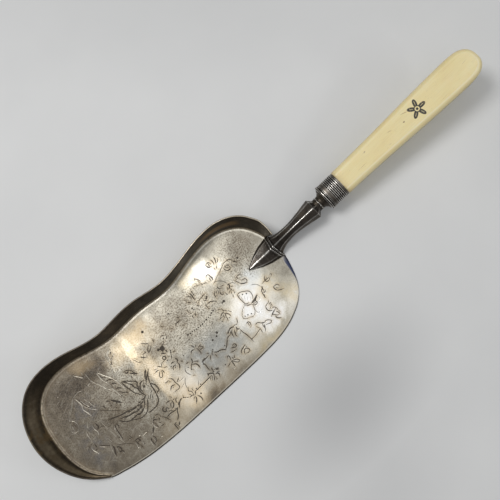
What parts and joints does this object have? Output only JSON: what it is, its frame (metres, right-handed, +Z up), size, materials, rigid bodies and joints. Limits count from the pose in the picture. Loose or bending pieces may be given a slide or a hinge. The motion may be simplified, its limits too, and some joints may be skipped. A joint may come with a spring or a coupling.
{
  "type": "crumb scoop",
  "caption": "Victorian crumb scoop: flat engraved plated pan with a bent rim strip along its back and toe, cast faceted stem, reeded ferrule and flat bone handle",
  "frame": {"origin": "middle of the whole scoop's footprint, on the table plane under the pan", "axes": "+X along the handle in plan, from the toe of the pan toward the handle's butt; +Y to the left of the handle, toward the bent rim; +Z up"},
  "size_m": [0.3238, 0.0784, 0.0308],
  "materials": {
    "pan_silver": "worn silver plate, engraved and tarnished",
    "wall_silver": "worn silver plate, dark tarnish inside",
    "stem_silver": "tarnished cast silver plate with bright worn edges",
    "ferrule_silver": "reeded silver plate, dark in the grooves",
    "bone": "polished aged bone, yellowed",
    "cement": "dull brown cutler's pitch"
  },
  "bodies": {
    "root": {"pan_plate": "pan_silver", "rim_wall": "wall_silver", "stem": "stem_silver", "ferrule": "ferrule_silver", "handle": "bone", "tang_cement": "cement"}
  },
  "joints": []
}
